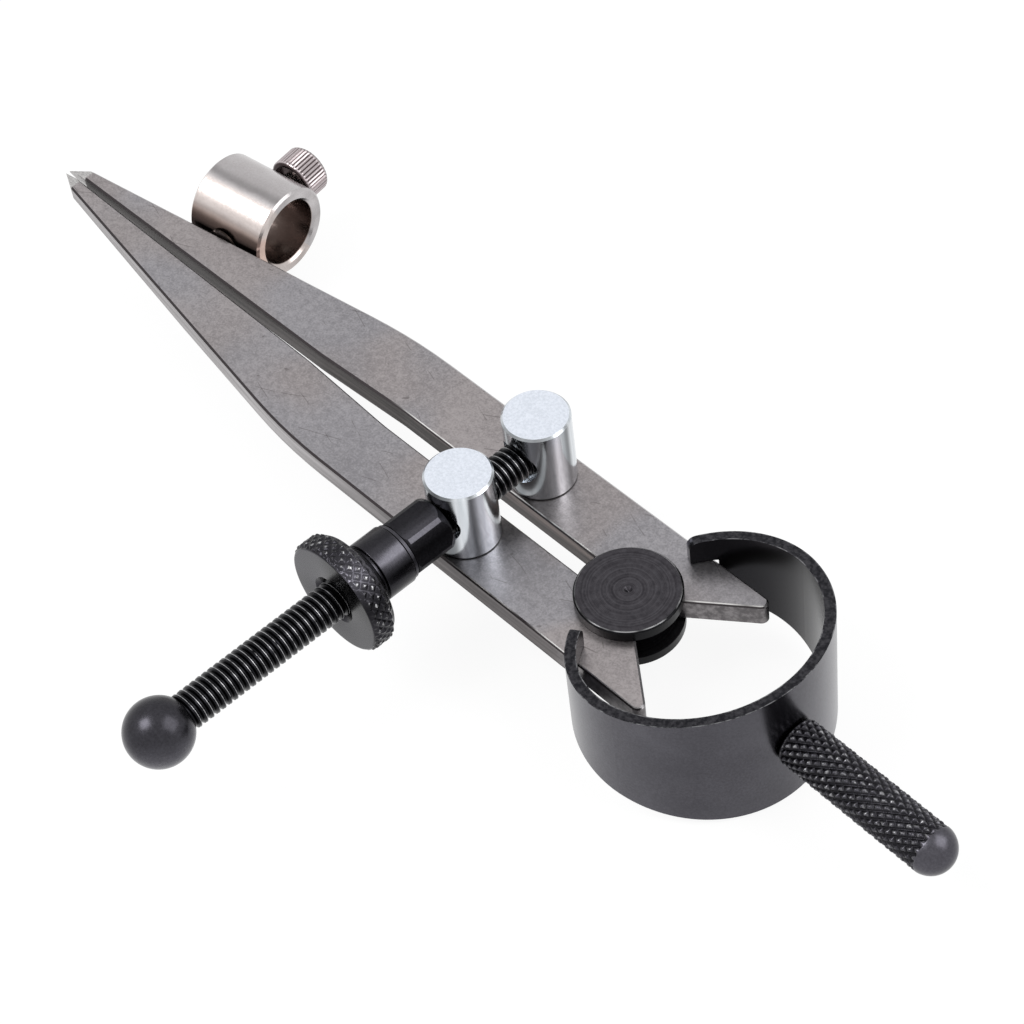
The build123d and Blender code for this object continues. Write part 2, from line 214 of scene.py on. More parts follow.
def turned(name, profile, origin, axis, body, steps, relief, sharp):
    """A profile of (distance along the axis, radius) pairs, in millimetres, carried round the axis. A
    point is the origin, plus its distance times the axis, plus its radius times (cosine of the turn
    times one square direction, plus sine of the turn times the other). relief, where it isn't None,
    gives a height for arrays of turn, distance and radius, and it is added to the radius.
    """
    profile = np.array(profile, float)
    across, beside = square_to(axis)
    turn = np.linspace(0, 2 * pi, steps, endpoint=False)
    distance, angle = np.meshgrid(profile[:, 0], turn, indexing="ij")
    radius = np.repeat(profile[:, 1:2], steps, axis=1)
    if relief is not None:
        radius = radius + relief(angle, distance, radius)
    points = (
        np.array(origin)
        + (distance * MM)[..., None] * axis
        + (radius * np.cos(angle) * MM)[..., None] * across
        + (radius * np.sin(angle) * MM)[..., None] * beside
    )
    index = np.arange(distance.size).reshape(distance.shape)
    following = np.roll(index, -1, axis=1)
    faces = np.stack([index[:-1], index[1:], following[1:], following[:-1]], axis=-1)
    return make_piece(name, points, faces.reshape(-1, 4).tolist(), body, sharp)


# Shader maths


class Wire:
    """A socket of a material. Arithmetic on it adds Math nodes."""

    def __init__(self, tree, socket):
        self.tree = tree
        self.socket = socket

    def node(self, kind, settings=None, sockets=None, output=0):
        """Any node: its settings are set first, then values and links of its sockets, by name or
        number.
        """
        made = self.tree.nodes.new("ShaderNode" + kind)
        for name, setting in (settings or {}).items():
            setattr(made, name, setting)
        for name, value in (sockets or {}).items():
            if isinstance(value, Wire):
                self.tree.links.new(value.socket, made.inputs[name])
            else:
                made.inputs[name].default_value = value
        return Wire(self.tree, made.outputs[output])

    def maths(self, operation, *values, clamp=False):
        return self.node("Math", {"operation": operation, "use_clamp": clamp}, dict(enumerate(values)))

    def vector(self, operation, *values, output=0):
        return self.node("VectorMath", {"operation": operation}, dict(enumerate(values)), output)

    def __add__(self, other):
        return self.maths("ADD", self, other)

    def __sub__(self, other):
        return self.maths("SUBTRACT", self, other)

    def __rsub__(self, other):
        return self.maths("SUBTRACT", other, self)

    def __mul__(self, other):
        return self.maths("MULTIPLY", self, other)

    def __truediv__(self, other):
        return self.maths("DIVIDE", self, other)

    def __pow__(self, other):
        return self.maths("POWER", self, other)

    def smooth(self, low, high):
        """0 below low, 1 above high, and an even curve between them."""
        sockets = {"Value": self, "From Min": low, "From Max": high}
        return self.node("MapRange", {"interpolation_type": "SMOOTHSTEP"}, sockets)

    def near(self, middle, width):
        """1 at the middle value, fading to 0 at the width on either side."""
        return 1 - (self - middle).maths("ABSOLUTE", self - middle).smooth(0.0, width)

    def between(self, low, high):
        """The signal, from 0 to 1, spread from low to high."""
        return self.node("MapRange", {}, {"Value": self, "To Min": low, "To Max": high})

    def noise(self, scale, detail=2.0, roughness=0.5, stretch=None):
        """Noise of about scale cells a metre, on a stretched copy of the position where stretch is
        given.
        """
        place = self if stretch is None else self.node("Mapping", {}, {"Vector": self, "Scale": stretch})
        sockets = {"Vector": place, "Scale": scale, "Detail": detail, "Roughness": roughness}
        return self.node("TexNoise", {}, sockets)

    def blend(self, first, second):
        """One colour where this signal is 0 and the other where it is 1."""
        return self.node("Mix", {"data_type": "RGBA"}, {0: self, 6: first, 7: second}, output=2)

    def times(self, shade):
        """A colour times a signal."""
        return self.node("VectorMath", {"operation": "SCALE"}, {0: self, 3: shade})

    def part(self, axis):
        """One coordinate of a position or a direction, 0 for X, 1 for Y and 2 for Z."""
        return self.node("SeparateXYZ", {}, {0: self}, output=axis)

    def bands(self, stops):
        """A signal that runs through (position, level) pairs, for the painted reflections and painted shade
        that lie in light and dark bands round turned metal and the bow.
        """
        made = self.tree.nodes.new("ShaderNodeValToRGB")
        ramp = made.color_ramp
        ramp.interpolation = "EASE"
        while len(ramp.elements) < len(stops):
            ramp.elements.new(0.5)
        for element, (position, level) in zip(ramp.elements, stops):
            element.position = position
            element.color = colour(level, level, level)
        self.tree.links.new(self.socket, made.inputs[0])
        return Wire(self.tree, made.outputs[0])


def colour(red, green, blue):
    return (red, green, blue, 1.0)


class Finish:
    """A metal finish: its material, its position and surface direction as Wires, and what feeds its
    shader.
    """

    def __init__(self, name):
        self.material = bpy.data.materials.new(name)
        self.material.use_nodes = True
        self.tree = self.material.node_tree
        self.shader = self.tree.nodes["Principled BSDF"]
        self.shader.inputs["Metallic"].default_value = 1.0
        source = self.tree.nodes.new("ShaderNodeTexCoord")
        self.place = Wire(self.tree, source.outputs["Object"])
        self.facing = Wire(self.tree, source.outputs["Normal"])

    def feed(self, socket, wire):
        self.tree.links.new(wire.socket, self.shader.inputs[socket])

    def relief(self, height, depth, strength):
        """Turns a height signal, worth so many metres from 0 to 1, into the surface's normal."""
        bump = height.node("Bump", {}, {"Height": height, "Distance": depth, "Strength": strength})
        self.feed("Normal", bump)

    def level(self):
        """How level the surface lies: 1 for a face that looks straight up or down."""
        upright = self.facing.part(2)
        return upright.maths("ABSOLUTE", upright)

    def from_axis(self, origin, axis):
        """Distance along an axis and distance from it, both in metres."""
        offset = self.place.vector("SUBTRACT", self.place, tuple(origin))
        along = offset.vector("DOT_PRODUCT", offset, tuple(axis), output=1)
        length = offset.vector("LENGTH", offset, output=1)
        square = length * length - along * along
        return along, square.maths("SQRT", square.maths("MAXIMUM", square, 0.0))

    def turn_about(self, origin, axis):
        """The turn round an axis, from 0 to 1, and 0.5 on the side of the tool that is looked at."""
        ahead = seen_side - axis * (seen_side @ axis)
        ahead /= np.linalg.norm(ahead)
        beside = np.cross(axis, ahead)
        offset = self.place.vector("SUBTRACT", self.place, tuple(origin))
        forward = offset.vector("DOT_PRODUCT", offset, tuple(ahead), output=1)
        sideways = offset.vector("DOT_PRODUCT", offset, tuple(beside), output=1)
        return sideways.maths("ARCTAN2", sideways, forward) / (2 * pi) + 0.5


def paint(finish, *nodes):
    """Gives solids or pieces their material."""
    for node in nodes:
        thing = frame["nodes"][node] if isinstance(node, str) else node
        thing.data.materials.clear()
        thing.data.materials.append(finish.material)


# Finishes

# Painted reflections, light and dark round turned pieces, as (turn, level) pairs, the turn from 0 to 1 as
# turn_about gives it

turned_reflection_bands = [
    (0.20, 0.5), (0.34, 0.35), (0.40, 0.40), (0.44, 0.65), (0.475, 1.20), (0.505, 1.25), (0.53, 0.6),
    (0.58, 0.25), (0.64, 0.45), (0.74, 0.25), (0.85, 0.5),
]
face_bands = [
    (0.05, 0.50), (0.22, 0.88), (0.34, 0.80), (0.44, 0.29), (0.50, 0.10), (0.58, 0.17), (0.68, 0.50),
    (0.78, 0.56), (0.95, 0.45),
]
near_post_bands = [
    (0.24, 0.75), (0.30, 0.35), (0.37, 0.14), (0.44, 0.30), (0.475, 0.85), (0.51, 1.0), (0.54, 0.35),
    (0.575, 0.8), (0.62, 1.0), (0.66, 0.5), (0.70, 0.35), (0.76, 0.85), (0.90, 0.6),
]
far_post_bands = [
    (0.24, 0.7), (0.36, 0.35), (0.45, 0.42), (0.50, 0.36), (0.545, 0.60), (0.58, 1.0), (0.61, 0.55),
    (0.64, 0.25), (0.68, 0.85), (0.75, 0.9), (0.85, 0.5),
]


def hairlines(place, across, spacing):
    """Short straight scratches, parallel to each other, a spacing in metres apart across the given
    direction.
    """
    run = place.vector("DOT_PRODUCT", place, across, output=1) / spacing + place.noise(35.0, 1.0) * 1.5
    line = run.maths("FRACT", run).near(0.5, 0.022)
    return line * place.noise(160.0, 1.0).smooth(0.57, 0.62)


def tumbled_steel():
    """Tumbled grey steel: mottled top with hairline scratches, and ground tips. The sheared sides are
    painted light and shade: pale with a painted reflection toward the tips, as on the near leg's outer
    edge, darker with painted shade near the pivot and on the tails, and dark brown painted shade between
    the legs with a painted highlight along its top near the posts. The edges are painted too: a light
    painted highlight where they face away from the near side, and a dark painted shadow line with
    patches of painted highlight where they face it.
    """
    finish = Finish("tumbled_steel")
    place = finish.place
    speckle = place.noise(2600.0, 2.0, 0.7)
    mottle = place.noise(800.0, 3.0, 0.6)
    cloud = place.noise(60.0, 3.0, 0.6)
    tone = (speckle * 0.42 + mottle * 0.35 + cloud * 0.23).smooth(0.36, 0.64)
    cool = tone.blend(colour(0.224, 0.217, 0.230), colour(0.345, 0.334, 0.352))
    warm = tone.blend(colour(0.240, 0.220, 0.222), colour(0.365, 0.336, 0.337))
    top = place.noise(45.0, 1.0).smooth(0.40, 0.60).blend(cool, warm)
    scratch = hairlines(place, (0.30, 0.95, 0.0), 5.3 * MM)
    scratch = scratch + hairlines(place, (-0.45, 0.89, 0.0), 7.1 * MM)
    pit = place.noise(620.0, 2.0, 0.5).smooth(0.73, 0.78)
    top = (scratch.maths("MAXIMUM", scratch, pit) * 0.5).blend(top, colour(0.08, 0.07, 0.07))

    facing_near = 1 - finish.facing.part(1).smooth(-0.3, 0.0)
    behind = place.part(0).smooth(pivot[0] - 3 * MM, pivot[0] + 3 * MM)
    between = place.part(1).smooth(pivot[1] - 0.2 * MM, pivot[1] + 0.2 * MM) * (1 - behind) * facing_near
    past_cap = place.part(0).smooth(pivot[0] - 70 * MM, pivot[0] - 25 * MM)
    streak = place.noise(330.0, 3.0, 0.6, (0.10, 0.10, 3.2)).smooth(0.36, 0.66)
    # The sides are painted light and shade: pale is a painted reflection, dull and speckled are painted
    # shade near the pivot and on the tails, brown is painted shade between the legs.
    pale = streak.blend(colour(0.27, 0.256, 0.260), colour(0.45, 0.432, 0.440))
    dull = streak.blend(colour(0.045, 0.038, 0.038), colour(0.125, 0.110, 0.111))
    speckled = mottle.smooth(0.35, 0.65).blend(colour(0.12, 0.112, 0.115), colour(0.24, 0.226, 0.230))
    brown = streak.blend(colour(0.016, 0.012, 0.011), colour(0.070, 0.060, 0.059))
    # A painted highlight along the top of the side between the legs, and on the edges, from these places on
    # toward the pivot.
    highlight_from = between.between(pivot[0] - 28 * MM, pivot[0] - 60 * MM)
    highlight_reach = (place.part(0) - highlight_from).smooth(0.0, 9 * MM)
    upper_highlight = highlight_reach * streak * place.part(2).smooth(leg_top - 2.4 * MM, leg_top - 1.0 * MM)
    brown = upper_highlight.blend(brown, colour(0.15, 0.120, 0.112))
    side = between.blend(behind.blend(past_cap.blend(pale, dull), speckled), brown)

    level = finish.level()
    body = level.smooth(0.30, 0.50).blend(side, top)
    # Painted edge lines: a dark painted shadow line with patches of painted highlight on edges facing the
    # near side, a light painted highlight on the rest.
    line = place.part(2).smooth(leg_top - 0.16 * MM, leg_top - 0.10 * MM)
    edge_highlight = line * highlight_reach * place.noise(160.0, 2.0).smooth(0.25, 0.50)
    edge = edge_highlight.blend(colour(0.050, 0.044, 0.046), colour(0.70, 0.69, 0.68))
    edge = facing_near.blend(colour(0.42, 0.41, 0.42), edge)
    body = level.near(0.71, 0.30).blend(body, edge)

    tip = 1 - place.part(0).smooth(leg_low[0] + 4.6 * MM, leg_low[0] + 5.1 * MM)
    grind = place.noise(1500.0, 2.0, 0.6, (0.4, 4.0, 4.0))
    ground = grind.smooth(0.3, 0.7).blend(colour(0.32, 0.31, 0.31), colour(0.58, 0.57, 0.56))
    finish.feed("Base Color", tip.blend(body, ground))
    finish.feed("Roughness", speckle.between(0.24, 0.44))
    finish.relief(speckle * 0.6 + mottle * 0.4, 0.014 * MM, 0.6)
    return finish


def black_oxide(name, light=1.0, smooth=0.28, rough=0.40):
    """Black oxide on steel: near black, a little blue, with faint patches and grain. Returned with its
    colour, so that bands can go over it.
    """
    finish = Finish(name)
    cloud = finish.place.noise(90.0, 3.0)
    grain = finish.place.noise(2600.0, 2.0, 0.6)
    dark = colour(0.055 * light, 0.053 * light, 0.062 * light)
    pale = colour(0.085 * light, 0.083 * light, 0.096 * light)
    shade = (cloud * 0.5 + grain * 0.5).smooth(0.3, 0.7).blend(dark, pale)
    finish.feed("Base Color", shade)
    finish.feed("Roughness", grain.between(smooth, rough))
    finish.relief(grain, 0.006 * MM, 0.5)
    return finish, shade


def cap_black():
    """The thrust cap: black oxide, with painted reflections in bands of light and dark round the screw."""
    finish, shade = black_oxide("cap_black", 0.76, 0.24, 0.34)
    finish.feed("Base Color", shade.times(finish.turn_about(screw_line, screw_way).bands(turned_reflection_bands)))
    return finish


def strip_offset(finish):
    """How far a point of the bow lies outside the middle of its strip, in metres. The strip follows a
    round back and, past the back's end, two tighter curls.
    """
    beside = np.cross(up, grip_way)
    curl_along = curl_shift * cos(bow_round_half_angle)
    curl_aside = curl_shift * sin(bow_round_half_angle)
    offset = finish.place.vector("SUBTRACT", finish.place, tuple(bow_middle))
    along = offset.vector("DOT_PRODUCT", offset, tuple(grip_way), output=1) / MM
    aside = offset.vector("DOT_PRODUCT", offset, tuple(beside), output=1) / MM
    aside = aside.maths("ABSOLUTE", aside)
    back = (along**2 + aside**2) ** 0.5 - bow_mid_radius
    curl = ((along - curl_along) ** 2 + (aside - curl_aside) ** 2) ** 0.5 - (bow_mid_radius - curl_shift)
    past = aside * cos(bow_round_half_angle) - along * sin(bow_round_half_angle)
    on_curl = past.maths("GREATER_THAN", past, 0.0)
    return back + on_curl * (curl - back)


def spring_black():
    """The bow: black oxide, painted darkest inside as shade and with painted reflections round its outside,
    with a rough dark cut along its rims that has patches of painted highlight at both borders.
    """
    finish, shade = black_oxide("spring_black", 1.0, 0.22, 0.34)
    turn = finish.turn_about(bow_middle, up)
    # Painted reflections round the outside of the bow, lighter toward one side, and painted shade inside it.
    outside = turn.bands(
        [(0.10, 0.8), (0.25, 1.5), (0.38, 1.2), (0.50, 0.95), (0.60, 1.0), (0.68, 1.5), (0.76, 2.6)]
    )
    inside = turn.bands([(0.55, 0.80), (0.63, 0.50), (0.70, 0.22), (0.76, 0.22), (0.95, 0.20)])
    depth = strip_offset(finish)
    body = shade.times(depth.smooth(-0.3, 0.3).blend(inside, outside))
    rim = finish.level().smooth(0.80, 0.90)
    grain = finish.place.noise(1300.0, 3.0, 0.7)
    cut = grain.smooth(0.35, 0.70).blend(colour(0.014, 0.014, 0.017), colour(0.052, 0.051, 0.057))
    # Patches of painted highlight along both borders of the rim.
    highlight_patches = finish.place.noise(520.0, 3.0, 0.7).smooth(0.44, 0.66)
    from_middle = depth.maths("ABSOLUTE", depth)
    border = from_middle.smooth(bow_half_thickness - 0.24, bow_half_thickness - 0.06) * highlight_patches
    finish.feed("Base Color", rim.blend(body, border.blend(cut, colour(0.22, 0.22, 0.23))))
    finish.feed("Roughness", rim.between(0.24, 0.42))
    return finish


def bright_zinc(name, origin, stops):
    """Clear zinc plate on a post: bluish white, frosted on top, streaked, with painted reflections in bands
    round its side, and painted shade in a dark line where it stands on the leg and in the bore round the
    screw.
    """
    finish = Finish(name)
    place = finish.place
    streak = place.noise(520.0, 3.0, 0.55, (1.0, 1.0, 0.08))
    frost = place.noise(2400.0, 3.0, 0.7)
    pale = streak.smooth(0.3, 0.7).blend(colour(0.62, 0.66, 0.70), colour(0.86, 0.89, 0.93))
    # Painted reflections in light and dark bands round the side.
    side = pale.times(finish.turn_about(origin, up).bands(stops))
    top = finish.level().smooth(0.90, 0.97)
    frosted = frost.smooth(0.3, 0.7).blend(colour(0.66, 0.70, 0.77), colour(0.80, 0.84, 0.92))
    body = top.blend(side, frosted)
    # Painted shade: a dark line at the foot, where the post stands on the leg, and in the bore round the
    # screw.
    foot = 1 - place.part(2).smooth(leg_top + 0.15 * MM, leg_top + 0.40 * MM)
    _, away = finish.from_axis(screw_line, screw_way)
    bore = 1 - away.smooth((post_bore + 0.02) * MM, (post_bore + 0.10) * MM)
    shaded = 1 - (1 - foot) * (1 - bore)
    finish.feed("Base Color", shaded.blend(body, colour(0.02, 0.02, 0.02)))
    finish.feed("Roughness", top.between(0.16, 0.34))
    finish.relief(streak * 0.6 + frost * 0.4, 0.008 * MM, 0.5)
    return finish


def satin_nickel(name, first, second):
    """Nickel plate over fine turning lines, warm and soft. Returned with its colour, so that bands can
    go over it.
    """
    finish = Finish(name)
    cloud = finish.place.noise(160.0, 3.0)
    grain = finish.place.noise(2400.0, 2.0, 0.6)
    shade = (cloud * 0.6 + grain * 0.4).smooth(0.3, 0.7).blend(first, second)
    finish.feed("Base Color", shade)
    finish.feed("Roughness", grain.between(0.16, 0.30))
    finish.relief(grain, 0.006 * MM, 0.5)
    return finish, shade


def brown_steel():
    """The rivet and its spacer: dark brown steel with a few painted glints."""
    finish = Finish("brown_steel")
    # Painted glints: a few light spots.
    painted_glint = finish.place.noise(700.0, 2.0, 0.6).smooth(0.60, 0.70)
    finish.feed("Base Color", painted_glint.blend(colour(0.030, 0.023, 0.020), colour(0.30, 0.26, 0.24)))
    finish.shader.inputs["Roughness"].default_value = 0.35
    return finish


def collar_nickel():
    """The pencil collar: bright nickel with painted reflections in soft bands round the tube, a painted
    brown reflection of the leg where it nears the leg, and painted shade in a dull brown bore.
    """
    axis = collar_way()
    finish, shade = satin_nickel("collar_nickel", colour(0.74, 0.655, 0.625), colour(0.86, 0.775, 0.745))
    turn = finish.turn_about(collar_middle, axis)
    # Painted reflections: a cooler tint on one side of the tube, a brown reflection of the leg on the side
    # that nears it, and light and dark bands round the tube.
    shade = turn.smooth(0.455, 0.48).blend(shade.vector("MULTIPLY", shade, (0.90, 0.96, 1.01)), shade)
    low = turn.smooth(0.555, 0.60) * (1 - turn.smooth(0.66, 0.76))
    shade = low.blend(shade, shade.vector("MULTIPLY", shade, (1.06, 0.88, 0.80)))
    stops = [
        (0.20, 0.75), (0.36, 0.66), (0.405, 0.60), (0.438, 0.40), (0.470, 0.86), (0.49, 1.0), (0.520, 0.98),
        (0.550, 0.78), (0.575, 0.48), (0.60, 0.16), (0.64, 0.06), (0.72, 0.25), (0.85, 0.6),
    ]
    wander = finish.place.noise(90.0, 3.0, 0.6).between(-0.015, 0.015)
    bands = (turn + wander).bands(stops)
    _, away = finish.from_axis(collar_middle, axis)
    end = finish.facing.vector("DOT_PRODUCT", finish.facing, tuple(axis), output=1)
    flat = end.maths("ABSOLUTE", end).smooth(0.5, 0.8)
    body = flat.blend(shade.times(bands), shade.times(finish.place.noise(300.0, 2.0).between(0.38, 0.85)))
    # Painted shade in the bore: dull brown, mottled.
    bore = 1 - away.smooth((collar_bore + 0.02) * MM, (collar_bore + 0.12) * MM)
    painted_bore_shade = finish.place.noise(700.0, 2.0).blend(colour(0.16, 0.125, 0.115), colour(0.30, 0.245, 0.225))
    finish.feed("Base Color", bore.blend(body, painted_bore_shade))
    return finish


def turned_dark():
    """The roller: dark turned steel with uneven rings about the pivot, patches of a thin painted highlight
    round its top, and sides painted black as shade.
    """
    finish = Finish("turned_dark")
    _, away = finish.from_axis(pivot, up)
    wobble = finish.place.noise(160.0, 2.0).between(-0.0003, 0.0003)
    distance = away + wobble
    ring = distance.node("CombineXYZ", {}, {0: distance})
    fine = ring.noise(2600.0, 3.0, 0.75)
    wide = ring.noise(900.0, 2.0, 0.6)
    mottle = finish.place.noise(900.0, 3.0, 0.7)
    rings = (fine * 0.55 + wide * 0.2 + mottle * 0.25).smooth(0.36, 0.64)
    top = rings.blend(colour(0.026, 0.024, 0.028), colour(0.080, 0.076, 0.085))
    level = finish.level()
    height = finish.place.part(2)
    flat = level.smooth(0.85, 0.95)
    centre = 1 - away.smooth(0.75 * MM, 0.85 * MM)
    # Painted shade: all but the flat faces and the centre is near black.
    body = flat.maths("MAXIMUM", flat, centre).blend(colour(0.010, 0.010, 0.011), top)
    # Patches of a thin painted highlight round the top edge.
    brink = away.smooth((roller_radius - 0.50) * MM, (roller_radius - 0.35) * MM)
    line = height.near(roller_top - 0.08 * MM, 0.10 * MM) * brink
    worn = line * finish.place.noise(240.0, 2.0).smooth(0.34, 0.56)
    finish.feed("Base Color", worn.blend(body, colour(0.46, 0.46, 0.47)))
    finish.feed("Roughness", fine.between(0.26, 0.42))
    finish.relief(rings, 0.02 * MM, 0.7)
    return finish


def thread_black():
    """The screw: black steel, with patches of painted highlight on the raised edge of its crests."""
    finish = Finish("thread_black")
    _, away = finish.from_axis(screw_line, screw_way)
    # Painted highlight on the raised edge of the crests, in patches.
    highlight_patches = finish.place.noise(900.0, 3.0, 0.7)
    crest = away.smooth((screw_radius - 0.035) * MM, (screw_radius - 0.005) * MM) * highlight_patches.smooth(0.25, 0.55)
    grain = finish.place.noise(2200.0, 2.0, 0.6)
    finish.feed("Base Color", crest.blend(colour(0.012, 0.012, 0.014), colour(0.40, 0.40, 0.41)))
    finish.feed("Roughness", grain.between(0.22, 0.36))
    return finish


def grip_black():
    """The grip: black oxide, with painted shade in the knurl's grooves and patches of painted highlight on
    its crests, and a dome painted lighter as an even satin sheen.
    """
    finish, shade = black_oxide("grip_black", 1.0, 0.24, 0.36)
    along, away = finish.from_axis(pivot, grip_way)
    dome_start = grip_start + grip_length - grip_radius
    dome = along.smooth(dome_start * MM, (dome_start + 0.4) * MM)
    # Painted shade in the grooves of the knurl, and patches of painted highlight on its crests.
    highlight_patches = finish.place.noise(900.0, 3.0, 0.7).smooth(0.45, 0.70)
    crest = away.smooth((grip_radius - 0.30) * MM, (grip_radius - 0.02) * MM)
    worn = (crest * highlight_patches).blend(shade.times(crest.between(0.30, 0.85)), colour(0.30, 0.30, 0.31))
    # The dome is painted lighter than the knurl, as an even sheen.
    finish.feed("Base Color", dome.blend(worn, shade.times(1.25)))
    return finish


def ball_black():
    """The ball: black oxide with painted light and shade, darker above and lighter grey below, and scuffed
    below.
    """
    finish, shade = black_oxide("ball_black", 1.0, 0.22, 0.34)
    height = finish.place.part(2).smooth(ball_low[2] + 1.5 * MM, ball_high[2] - 1.5 * MM)
    cloud = finish.place.noise(260.0, 3.0, 0.6).between(0.7, 1.3)
    # Painted light and shade from top to bottom: darker above, lighter below.
    body = shade.times(height.between(1.55, 0.62) * cloud)
    scuff = finish.place.noise(420.0, 2.0, 0.6, (1.0, 0.35, 2.5)).near(0.5, 0.010) * (1 - height)
    finish.feed("Base Color", (scuff * 0.6).blend(body, colour(0.25, 0.25, 0.26)))
    return finish


def nut_black():
    """The nut: painted reflections in bands round its barrel and in light and dark wedges on the turned face
    of its disc, and painted glints on the rim of its knurl.
    """
    finish, shade = black_oxide("nut_black", 0.95, 0.22, 0.32)
    turn = finish.turn_about(screw_line, screw_way)
    end = finish.facing.part(1)
    face = end.maths("ABSOLUTE", end).smooth(0.85, 0.95)
    # Painted reflections: bands round the barrel and wedges on the face of the disc.
    bands = face.blend(turn.bands(turned_reflection_bands), turn.bands(face_bands))
    _, away = finish.from_axis(screw_line, screw_way)
    rim = away.smooth((disc_radius - 0.10) * MM, (disc_radius - 0.02) * MM)
    glint = finish.place.noise(1100.0, 2.0, 0.7).smooth(0.50, 0.68) * rim
    finish.feed("Base Color", glint.blend(shade.times(bands), colour(0.44, 0.44, 0.45)))
    return finish


def thumb_nickel():
    """The thumb head's knurl: bright teeth with painted shade in its dark grooves."""
    finish, shade = satin_nickel("thumb_nickel", colour(0.44, 0.39, 0.40), colour(0.60, 0.54, 0.55))
    _, away = finish.from_axis(thumb_start, thumb_out)
    crest = away.smooth((thumb_radius - 0.24) * MM, (thumb_radius - 0.04) * MM)
    # Painted shade in the grooves between the teeth.
    finish.feed("Base Color", crest.blend(colour(0.09, 0.07, 0.07), shade))
    return finish


# Detailed pieces


def tooth(signal):
    """A ridge of even flanks: 0 at whole numbers and 1 half way between them."""
    return 1 - np.abs(2 * (signal - np.floor(signal)) - 1)


def diamonds(angle, distance, count, pitch, shallow=0.0):
    """Diamond knurl: two sets of ridges that wind opposite ways, count of them round the axis, each
    moved on by one ridge every pitch along it. The height, 0 to 1, is the lower of both, and the
    grooves of the second set are cut less deep by the shallow share.
    """
    around, along = count * angle / (2 * pi), distance / pitch
    return np.minimum(tooth(around + along), shallow + (1 - shallow) * tooth(around - along))


def faded(distance, start, end, run):
    """1 between start and end, falling to 0 over the run at both."""
    return np.clip((distance - start) / run, 0, 1) * np.clip((end - distance) / run, 0, 1)


def knurled_grip():
    """The grip: a diamond knurled rod with a smooth domed end."""
    dome_start = grip_length - grip_radius
    rod = [(0, 0.001), (0, grip_radius - 0.5), (0.5, grip_radius), (dome_start, grip_radius)]
    turn = np.linspace(0, pi / 2, 40)[1:]
    dome = np.stack([dome_start + grip_radius * np.sin(turn), grip_radius * np.cos(turn)], axis=1)
    dome[-1, 1] = 0.001
    profile = np.concatenate([finely(rod, 0.12), dome])

    def relief(angle, distance, radius):
        fade = faded(distance, 0.3, dome_start + 0.5, 0.35)
        height = diamonds(angle, distance, grip_ridges, grip_knurl_pitch, 0.2)
        return grip_knurl_depth * (np.minimum(1, 1.2 * height) - 1) * fade

    origin = pivot + grip_way * grip_start * MM
    return turned("knurled_grip", profile, origin, grip_way, "bow_head", grip_ridges * 12, relief, 50.0)


def threaded_screw():
    """The adjusting screw: a right-hand thread. Each row of the grid follows the helix, so its
    distance is the row's own plus the pitch times the turn, cut off level at both ends, and the
    radius is read off the thread's section at that distance.
    """
    root, worn = thread_root, screw_radius - crest_wear
    inside_ball = 2.0
    length = (screw_high[1] - ball_high[1]) / MM + inside_ball
    section = np.array(
        [[0.0, root], [0.10, root], [0.31, worn], [0.56, worn], [0.59, screw_radius], [0.66, screw_radius],
         [0.69, worn], [0.91, root], [1.0, root]]
    )
    turns = int(np.ceil(length / screw_pitch)) + 2
    base = (np.arange(-1, turns)[:, None] + section[None, :-1, 0]).reshape(-1) * screw_pitch
    turn = np.linspace(0, 2 * pi, 57)
    distance = np.clip(base[:, None] + screw_pitch * turn[None, :] / (2 * pi), 0, length)
    phase = distance / screw_pitch - turn[None, :] / (2 * pi)
    radius = np.interp(phase - np.floor(phase), section[:, 0], section[:, 1])
    low = np.array([screw_line[0], screw_high[1] - length * MM, screw_line[2]])
    points = np.stack(
        [
            low[0] + radius * np.cos(turn) * MM,
            low[1] + distance * MM,
            low[2] - radius * np.sin(turn) * MM,
        ],
        axis=-1,
    )
    index = np.arange(distance.size).reshape(distance.shape)
    faces = np.stack([index[:-1, :-1], index[1:, :-1], index[1:, 1:], index[:-1, 1:]], axis=-1)
    return make_piece("threaded_screw", points, faces.reshape(-1, 4).tolist(), "far_post", 35.0, 2e-6)


